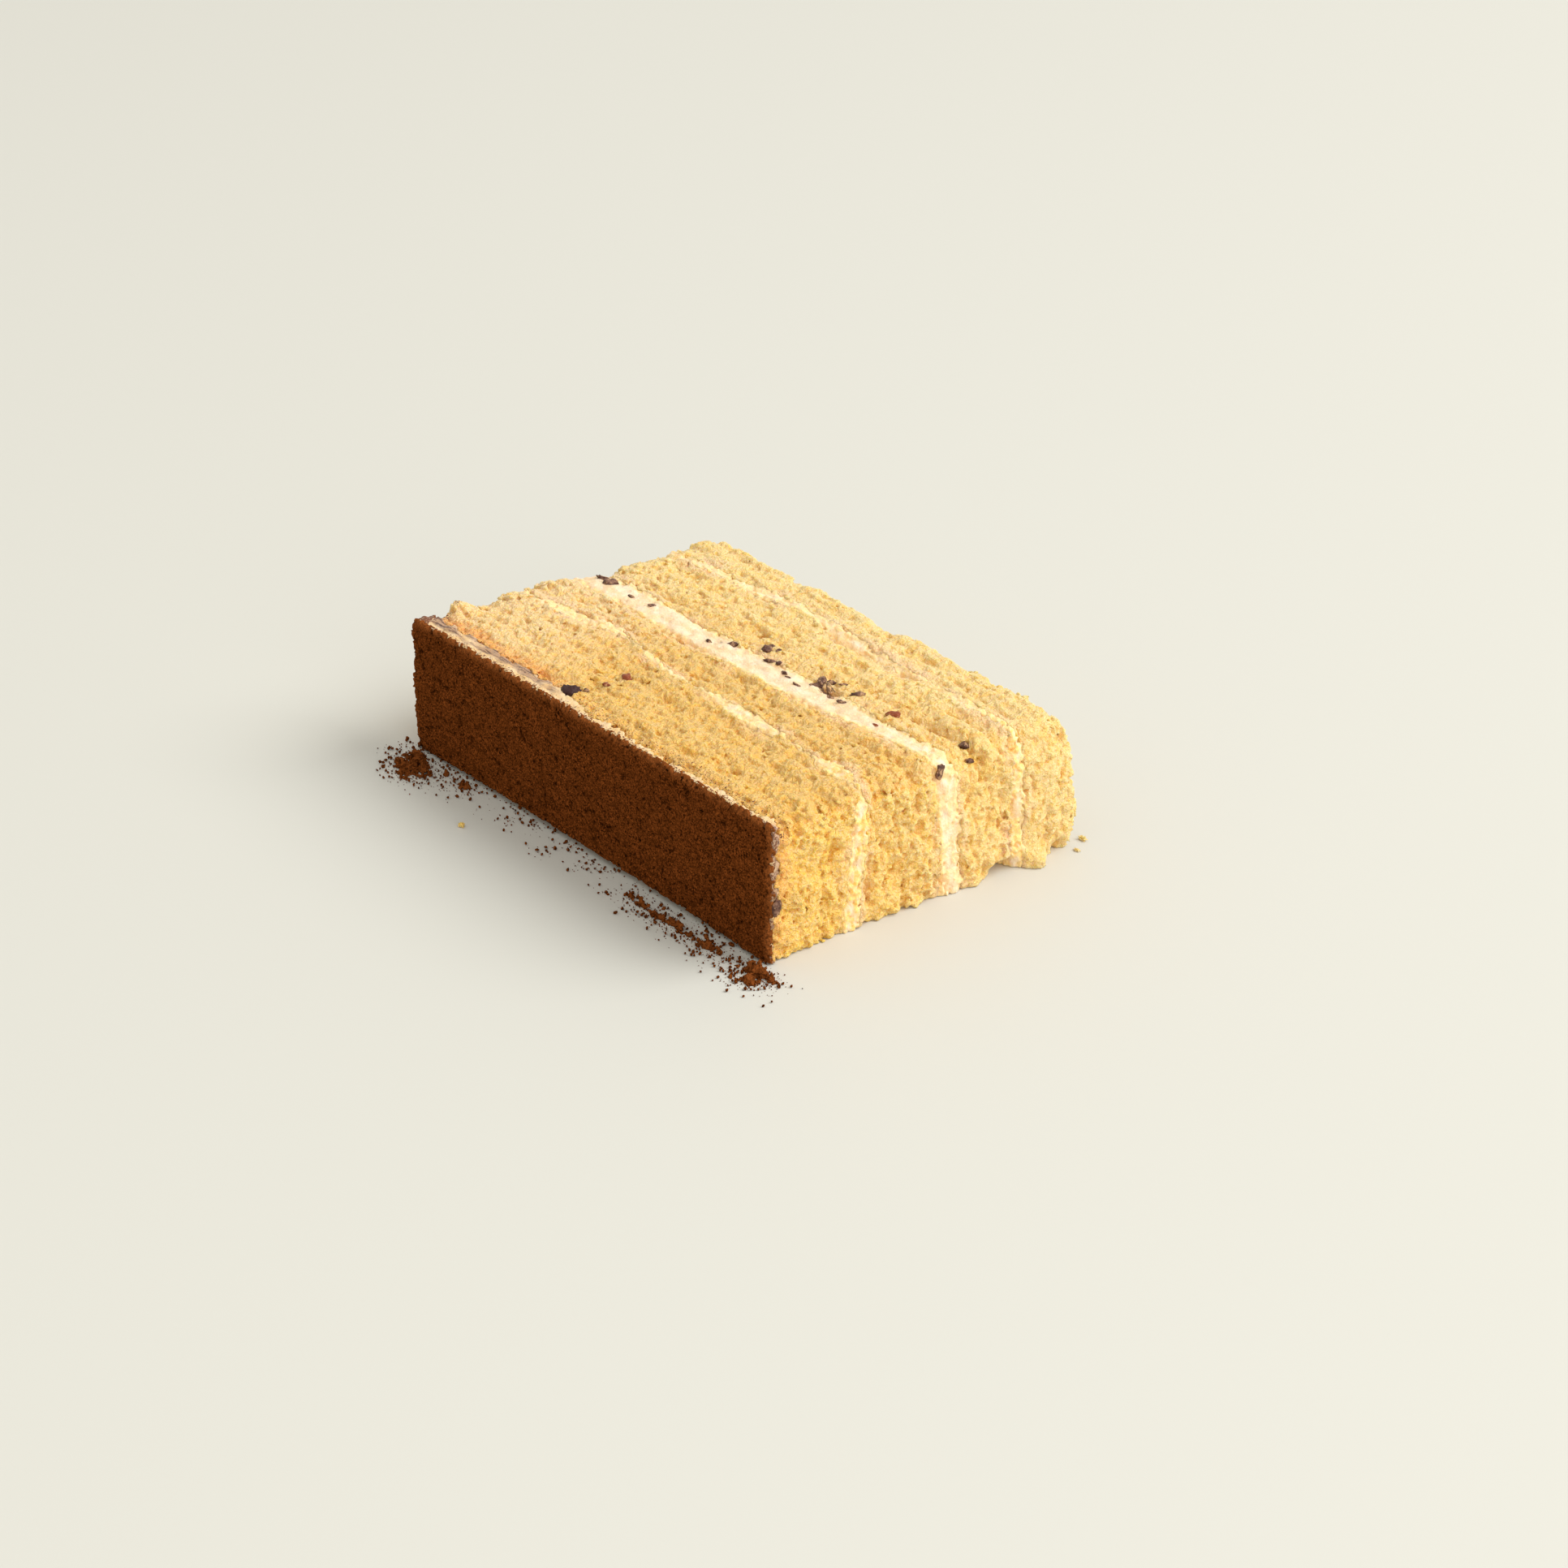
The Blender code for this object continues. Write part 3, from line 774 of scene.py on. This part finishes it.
cocoa = Finish("cocoa_powder", roughness=1.0, specular=0.0)
height, tone_and_highlight = cocoa.effect(FINE_GRAIN, Size=0.34)
# Paler reddish brown in the middle of each grain and near black between them: painted highlight and painted
# shade, over a random tone.
tint = cocoa.mix(tone_and_highlight, colour(36, 10, 1), colour(148, 79, 33))
tint = cocoa.mix(cocoa.place.noise(3.0, 3.0).rise(0.35, 0.7) * 0.35, tint, colour(97, 49, 16))
# Paler along the edges of the dusting, where they catch the light: painted highlight. Near black in the
# hollows of the relief: painted shade.
tint = cocoa.mix(cocoa.mark("rim") * 0.55, tint, colour(156, 91, 45))
tint = cocoa.mix(cocoa.mark("depth").rise(0.25, 0.75) * 0.8, tint, colour(38, 13, 2))
cocoa.paint(tint, height, 0.2)


def powder_relief(pattern, recipe):
    grains = pattern.warped(0.3, 0.6).cells(recipe["Grain"]) ** 2 * recipe["Grain depth"]
    lumps = (pattern.noise(1.2, 2.0, 0.6) - 0.42).most(0) * 2 * recipe["Lump depth"]
    return grains + lumps


def cocoa_skin(place, recipe):
    from_front = place.y - FRONT
    pattern = place.moved(recipe["Seed"])
    relief = powder_relief(pattern, recipe)
    from_sides = inside_block(place, recipe["Worn edge"])
    depth = from_front.meets(from_sides, recipe["Worn edge"])
    ragged = (pattern.noise(1.6, 2.0) * 1.3 - 0.65) * (1 - from_sides.rise(1.5, 3.0))
    solid = (depth - relief + 0.25).least(DUSTING - from_front + ragged + 0.1).least(foot(place))
    # rim marks the edges of the dusting, which its material paints paler as a highlight; depth is the relief,
    # whose hollows it paints darker as shade.
    return solid, {"depth": relief, "rim": 1 - from_sides.rise(0.1, 1.6)}


made = carved(
    "cocoa_skin", (-END - 1.5, FRONT - 1, -1), (END + 1.5, FRONT + 3, THICKNESS + 1.5),
    POWDER_SIZES, cocoa_skin, cocoa.material)
lay_out(made)
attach(made, "root")
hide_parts("cocoa_dusting")
kept["cocoa_dusting"] = made

# ---------------------------------------------------------------------------
# Chocolate shards: dark chocolate chopped with a knife and stirred into the cream. They are small
# splinters with broken edges, smeared with cream and sunk into it or into crumb. Some have melted to a
# reddish brown, and one on the icing is a dark clot.
# ---------------------------------------------------------------------------
UPPER = Vector((0, 0, 1))
DARK, RED, CLOT = 0.0, 1.0, -1.0  # values of the mark that colours a shard
SHARDS = (  # on the upper face: x, y, length, width, turn in degrees, tint
    (-43.6, 2.9, 2.3, 1.1, 20, DARK), (-41.6, 2.6, 2.4, 1.5, 60, DARK), (-34.5, 2.1, 1.1, 0.8, 10, DARK),
    (-28.7, 2.4, 1.3, 0.7, 80, DARK), (-10.8, 1.2, 1.0, 0.7, 0, DARK), (-7.2, 3.6, 1.7, 1.2, 30, DARK),
    (-1.7, 7.0, 1.7, 1.3, 110, DARK), (-2.6, 9.2, 1.0, 0.7, 15, DARK), (0.2, 8.1, 0.9, 0.6, 70, DARK),
    (2.6, 4.2, 1.9, 0.8, 35, DARK), (4.2, 4.8, 1.0, 0.7, 95, DARK), (7.2, 3.5, 1.8, 0.7, -20, DARK),
    (9.3, 2.6, 1.0, 0.4, 5, DARK), (12.4, 2.1, 1.3, 0.5, 15, DARK), (14.2, 4.9, 1.6, 1.1, 60, DARK),
    (13.8, 6.6, 2.6, 1.2, 130, DARK), (15.0, 7.6, 1.6, 0.8, 20, DARK), (17.2, 8.6, 1.3, 0.5, 70, DARK),
    (21.8, 7.9, 2.0, 1.0, 40, DARK), (20.6, 9.3, 1.0, 0.5, 100, DARK), (19.2, 3.9, 1.4, 0.6, 10, DARK),
    (22.2, 3.8, 1.4, 0.8, 45, DARK), (31.7, 7.4, 1.9, 1.3, 75, RED), (31.9, 2.9, 0.9, 0.6, 0, RED),
    (45.3, 11.3, 1.9, 1.3, 150, DARK), (47.6, 10.4, 1.3, 0.8, 60, DARK), (-8.9, -18.9, 2.0, 1.3, -30, RED),
    (-8.1, -24.0, 1.1, 0.8, 20, RED), (-10.6, -30.0, 2.7, 2.5, 30, CLOT), (-9.5, -27.3, 0.9, 0.7, 0, DARK),
)
END_SHARDS = (  # on the +X end: y, z, length, width, turn in degrees, tint
    (2.8, 23.6, 2.0, 1.2, 70, DARK), (32.4, 7.6, 1.1, 0.9, 0, DARK), (-33.0, 10.6, 2.6, 1.8, 80, DARK),
)

chocolate = Finish("chocolate", roughness=0.5, specular=0.2)
height, tone_and_highlight = chocolate.effect(FINE_GRAIN, Size=0.5)
tint = chocolate.mix(chocolate.place.noise(0.7, 2.0).rise(0.4, 0.65), colour(78, 50, 40), colour(128, 94, 76))
tint = chocolate.mix(chocolate.mark("red") * 0.85, tint, colour(140, 68, 36))
smeared = chocolate.place.moved(4).noise(0.9, 2.0, 0.6).rise(0.52, 0.66) * 0.6
tint = chocolate.mix(smeared, tint, colour(206, 164, 122))
tint = chocolate.mix((-chocolate.mark("red")).most(0), tint, colour(60, 36, 34))
chocolate.paint(tint, height, 0.1)

crumb_trees = [BVHTree.FromObject(piece, bpy.context.evaluated_depsgraph_get()) for piece in kept.values()]


def surface_at(start, direction):
    """The first point of the cake met from start, as the crumb really lies there."""
    hits = [tree.ray_cast(start, direction) for tree in crumb_trees]
    hits = [(hit[3], hit[0]) for hit in hits if hit[0] is not None]
    return min(hits, key=lambda hit: hit[0])[1]


def add_shard(mesh, red, middle, normal, length, width, turn, tint, draw):
    """A splinter: a flattened ball, knocked out of shape, with broken facets."""
    made = bmesh.ops.create_icosphere(mesh, subdivisions=3, radius=0.5)
    shift = Vector([draw.uniform(0, 50) for axis in range(3)])
    for vert in made["verts"]:
        vert.co *= 0.75 + 0.75 * noise.voronoi(vert.co * 1.9 + shift)[0][0]
        vert.co *= 1 + 0.30 * noise.noise(vert.co * 6 + shift)
        vert.co = Vector((vert.co.x * length * 1.15, vert.co.y * width * 1.15, vert.co.z * width * 0.8))
    spin = Euler((draw.uniform(-0.3, 0.3), draw.uniform(-0.3, 0.3), math.radians(turn))).to_matrix()
    across = Vector((1, 0, 0)) if abs(normal.x) < 0.5 else Vector((0, 1, 0))
    lying = Matrix((across, normal.cross(across), normal)).transposed()
    place = Matrix.Translation(middle) @ (lying @ spin).to_4x4() @ Matrix.Scale(MM, 4)
    bmesh.ops.transform(mesh, matrix=place, verts=made["verts"])
    red.extend([tint] * len(made["verts"]))


draw = random.Random(5)
shards, red = bmesh.new(), []
for x, y, length, width, turn, tint_of in SHARDS:
    top = surface_at(Vector((x, y, THICKNESS + 10)) * MM, -UPPER)
    add_shard(shards, red, top, UPPER, length, width, turn, tint_of, draw)
for y, z, length, width, turn, tint_of in END_SHARDS:
    outward = Vector((1, 0, 0))
    face = surface_at(Vector((END + 10, y, z)) * MM, -outward)
    add_shard(shards, red, face, outward, length, width, turn, tint_of, draw)
shard_mesh = bpy.data.meshes.new("chocolate_shards")
shards.to_mesh(shard_mesh)
shards.free()
shard_mesh.shade_smooth()
shard_mesh.attributes.new("red", "FLOAT", "POINT").data.foreach_set("value", red)
shard_mesh.materials.append(chocolate.material)
made = bpy.data.objects.new("chocolate_shards", shard_mesh)
bpy.context.scene.collection.objects.link(made)
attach(made, "root")

# ---------------------------------------------------------------------------
# Fallen cocoa: powder that the knife shook off the dusting. It lies in small crumbling heaps along the
# foot of the dusted face, with loose bits scattered round them.
# ---------------------------------------------------------------------------
HEAP_SIZES = {
    "Voxel": 0.2,
    "Simplify": 0.1,
    "Grain": 0.62,
    "Grain depth": 0.75,
    "Loose bit": 6,
    "Seed": 8,
}
HEAPS = (  # middle x and y, half length and half width, height
    (-46.9, -38.0, 3.2, 2.0, 1.4), (-43.2, -40.4, 3.0, 1.9, 1.3), (-47.6, -41.6, 2.5, 1.3, 0.9),
    (-43.6, -43.4, 1.9, 1.1, 0.9), (-39.0, -37.0, 1.2, 1.0, 0.9), (-33.0, -37.4, 1.5, 1.1, 1.3),
    (16.2, -38.3, 1.4, 0.6, 1.0), (19.6, -38.5, 1.9, 0.8, 1.2), (22.8, -38.8, 1.2, 0.6, 1.0),
    (26.0, -38.5, 2.0, 0.9, 1.4), (30.0, -38.5, 2.2, 1.0, 1.3), (33.8, -38.7, 1.2, 0.6, 1.0),
    (37.2, -38.4, 1.6, 1.0, 1.4), (40.2, -38.3, 1.3, 0.7, 1.1), (45.0, -38.1, 1.1, 0.8, 0.8),
    (48.6, -37.8, 2.2, 1.5, 1.4), (51.2, -37.6, 1.8, 1.3, 1.2), (50.9, -40.4, 1.9, 1.1, 1.0),
    (48.0, -41.6, 1.2, 0.7, 0.8), (53.6, -37.2, 1.2, 0.7, 0.7),
)
HEAP_LOW, HEAP_HIGH = (-END - 3, -46.9, 0.02), (60.0, FRONT + 1.5, 3.0)


def heap_height(place):
    total = None
    for x, y, half_length, half_width, height in HEAPS:
        one = place.x.bell(x, half_length) * place.y.bell(y, half_width) * height
        total = total + one if total else one
    return total


def heaps(place, recipe):
    pattern = place.moved(recipe["Seed"])
    grains = pattern.warped(0.3, 0.6).cells(recipe["Grain"]) ** 2 * recipe["Grain depth"]
    clumped = pattern.noise(1.3, 2.0, 0.6).rise(0.36, 0.66) * 1.5 + 0.35
    heap = heap_height(place) * clumped - 0.4 - grains - place.z * 0.8
    # The gaps between the grains are painted darker as shade, and the heaps take half the paler tone of the
    # dusting's rim all over.
    return heap, {"depth": grains * 0.6, "rim": place.x * 0 + 0.5}


made = carved("fallen_cocoa_heaps", HEAP_LOW, HEAP_HIGH, HEAP_SIZES, heaps, cocoa.material)
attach(made, "root")

RARITY_OF_LARGE = 2.6  # the higher, the fewer of the bits are large
BIT_SIZES = {
    "Bits for each square metre": 1.3e6,
    "Small": 0.14,
    "Large": 0.80,
    "Seed": 3,
}


def scattered(name, ground, sizes, thickly, material, lumps):
    """Bits strewn over a ground mesh, as thickly as thickly(place) says. A few are large and most small."""
    recipe = Recipe(name, sizes)
    flow = recipe.nodes.new("GeometryNodeObjectInfo")
    flow.inputs["Object"].default_value = ground
    flow = flow.outputs["Geometry"]
    points = recipe.nodes.new("GeometryNodeDistributePointsOnFaces")
    recipe.tree.links.new(flow, points.inputs["Mesh"])
    density = thickly(recipe.place) * recipe["Bits for each square metre"]
    recipe.tree.links.new(density.socket, points.inputs["Density"])
    recipe.tree.links.new(recipe["Seed"].socket, points.inputs["Seed"])

    def drawn(kind, low, high, offset):
        node = recipe.nodes.new("FunctionNodeRandomValue")
        node.data_type = kind
        slots = [s for s in node.inputs if s.enabled and s.name in ("Min", "Max")]
        slots[0].default_value, slots[1].default_value = low, high
        recipe.tree.links.new((recipe["Seed"] + offset).socket, node.inputs["Seed"])
        return next(s for s in node.outputs if s.enabled)

    lump = bpy.data.objects.new(name + "_lump", lumps)
    info = recipe.nodes.new("GeometryNodeObjectInfo")
    info.inputs["Object"].default_value = lump
    size = Amount(recipe.tree, drawn("FLOAT", 0.0, 1.0, 1)) ** RARITY_OF_LARGE
    size = (size * (recipe["Large"] - recipe["Small"]) + recipe["Small"]) * MM
    squash = recipe.nodes.new("ShaderNodeVectorMath")
    squash.operation = "SCALE"
    recipe.tree.links.new(drawn("FLOAT_VECTOR", (0.7, 0.7, 0.6), (1.3, 1.1, 0.9), 2), squash.inputs[0])
    recipe.tree.links.new(size.socket, squash.inputs["Scale"])
    turn = recipe.nodes.new("FunctionNodeEulerToRotation")
    recipe.tree.links.new(drawn("FLOAT_VECTOR", (-3.14, -3.14, -3.14), (3.14, 3.14, 3.14), 3), turn.inputs[0])
    strewn = recipe.step(
        "GeometryNodeInstanceOnPoints", points.outputs["Points"], Instance=info.outputs["Geometry"],
        Rotation=turn.outputs[0], Scale=squash.outputs[0])
    lifted = recipe.nodes.new("ShaderNodeCombineXYZ")
    recipe.tree.links.new((size * 0.45).socket, lifted.inputs["Z"])
    moved = recipe.step("GeometryNodeTranslateInstances", strewn.outputs[0], Translation=lifted.outputs[0])
    moved.inputs["Local Space"].default_value = False
    made = recipe.bake(moved.outputs[0], material)
    bpy.data.objects.remove(lump)
    return made


def lump_mesh(name, seed, rounds):
    """A knobbly little lump, one unit across, to be strewn."""
    draw = random.Random(seed)
    lump = bmesh.new()
    bmesh.ops.create_icosphere(lump, subdivisions=rounds, radius=0.5)
    for vert in lump.verts:
        vert.co *= draw.uniform(0.7, 1.25)
    mesh = bpy.data.meshes.new(name)
    lump.to_mesh(mesh)
    lump.free()
    return mesh


STRIP_MIDDLE = Vector((2.5, -40.6, 0)) * MM  # the strip of ground that bits fall on
STRIP_LENGTH, STRIP_WIDTH = 117 * MM, 12.4 * MM
ground_mesh = bpy.data.meshes.new("ground")
squares = bmesh.new()
bmesh.ops.create_grid(
    squares, x_segments=120, y_segments=16, size=0.5,
    matrix=Matrix.Translation(STRIP_MIDDLE) @ Matrix.Diagonal((STRIP_LENGTH, STRIP_WIDTH, 1, 1)))
squares.to_mesh(ground_mesh)
squares.free()
ground = bpy.data.objects.new("ground", ground_mesh)
bpy.context.scene.collection.objects.link(ground)


def near_heaps(place):
    wide = None
    for x, y, half_length, half_width, height in HEAPS:
        one = place.x.bell(x, half_length + 2.2) * place.y.bell(y - 0.8, half_width + 1.6) * height
        wide = wide + one if wide else one
    along = (1 - (FRONT - place.y).rise(1.0, 9.0)) * (place.noise(5.0, 2.0).rise(0.45, 0.7) + 0.08)
    along = along * (1 - place.x.rise(52, 56)) * (0.9 + place.x.bell(-12, 24) * 1.2)
    along = along + (1 - (FRONT - place.y).rise(0.5, 3.0)) * 0.5 * (1 - place.x.rise(50, 54))
    return (wide + along).most(0)


made = scattered("fallen_cocoa_bits", ground, BIT_SIZES, near_heaps, cocoa.material, lump_mesh("bit", 2, 1))
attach(made, "root")
bpy.data.objects.remove(ground)

# ---------------------------------------------------------------------------
# Loose crumbs of sponge: three that broke off as the slice was laid down, two beside the foot of the +X
# end and one among the fallen cocoa. Each is a knot of a few grains.
# ---------------------------------------------------------------------------
LOOSE_CRUMBS = (  # middle x and y, length, width and height
    (50.9, 35.7, 1.9, 1.1, 0.8), (53.1, 32.2, 1.2, 0.8, 0.5), (-21.4, -46.2, 1.3, 1.0, 0.8),
)

draw = random.Random(11)
crumbs = bmesh.new()
for x, y, length, width, height in LOOSE_CRUMBS:
    made = bmesh.ops.create_icosphere(crumbs, subdivisions=4, radius=0.5)
    shift = Vector([draw.uniform(0, 50) for axis in range(3)])
    for vert in made["verts"]:
        vert.co *= 1.5 - 1.2 * noise.voronoi(vert.co * 2.6 + shift)[0][0]
        size = Vector((vert.co.x * length, vert.co.y * width, (vert.co.z + 0.45) * height))
        vert.co = (Vector((x, y, 0)) + size) * MM
crumb_mesh = bpy.data.meshes.new("loose_sponge_crumbs")
crumbs.to_mesh(crumb_mesh)
crumbs.free()
crumb_mesh.shade_smooth()
crumb_mesh.materials.append(sponge.material)
for mark in ("depth", "valley", "smear", "soak", "dust"):
    crumb_mesh.attributes.new(mark, "FLOAT", "POINT")
made = bpy.data.objects.new("loose_sponge_crumbs", crumb_mesh)
bpy.context.scene.collection.objects.link(made)
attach(made, "root")

# ---------------------------------------------------------------------------
# Floor, light and camera: a plain pale floor, one large soft light from behind on the right, and the
# photograph's own view of the slice.
# ---------------------------------------------------------------------------
FLOOR_REACH = 4.0
floor_corners = [
    (-FLOOR_REACH, -FLOOR_REACH, 0), (FLOOR_REACH, -FLOOR_REACH, 0), (FLOOR_REACH, FLOOR_REACH, 0),
    (-FLOOR_REACH, FLOOR_REACH, 0)]
floor_mesh = bpy.data.meshes.new("floor")
floor_mesh.from_pydata(floor_corners, [], [(0, 1, 2, 3)])
floor = bpy.data.objects.new("floor", floor_mesh)
bpy.context.scene.collection.objects.link(floor)
paper = Finish("pale_floor", roughness=0.6, specular=0.3)
paper.shader.inputs["Base Color"].default_value = colour(205, 205, 197)
floor_mesh.materials.append(paper.material)


def soft_light(name, place, aim, size, watts, tint):
    lamp = bpy.data.lights.new(name, "AREA")
    lamp.shape = "DISK"
    lamp.size = size
    lamp.energy = watts
    lamp.color = tint
    obj = bpy.data.objects.new(name, lamp)
    obj.location = place
    obj.rotation_euler = (Vector(aim) - Vector(place)).to_track_quat("-Z", "Y").to_euler()
    bpy.context.scene.collection.objects.link(obj)


MIDDLE_OF_CAKE = (0, 0, 0.01)
soft_light(
    "window", place=(1.40, 1.55, 2.00), aim=MIDDLE_OF_CAKE, size=2.2, watts=73, tint=(1.0, 0.99, 0.985))
soft_light(
    "fill", place=(1.25, -0.30, 0.42), aim=MIDDLE_OF_CAKE, size=0.9, watts=3.8, tint=(1.0, 0.98, 0.95))
world = bpy.data.worlds.new("studio")
world.use_nodes = True
world.node_tree.nodes["Background"].inputs["Color"].default_value = (1, 0.967, 0.905, 1)
world.node_tree.nodes["Background"].inputs["Strength"].default_value = 0.79
bpy.context.scene.world = world
bpy.context.scene.view_settings.view_transform = "Standard"

PHOTO_SIDE = 1932  # pixels
FOCAL = 4302  # in those pixels
SENSOR = 36  # millimetres
camera_data = bpy.data.cameras.new("camera")
camera_data.sensor_width = SENSOR
camera_data.lens = FOCAL / PHOTO_SIDE * SENSOR
camera = bpy.data.objects.new("camera", camera_data)
right = Vector((0.6455, 0.7636, 0.0127)).normalized()
forward = Vector((-0.6689, 0.5733, -0.4731)).normalized()
up = right.cross(forward).normalized()
right = forward.cross(up)
turn = Matrix((right, up, -forward)).transposed().to_4x4()
camera.matrix_world = Matrix.Translation(Vector((0.4237, -0.3531, 0.2982))) @ turn
bpy.context.scene.collection.objects.link(camera)
bpy.context.scene.camera = camera
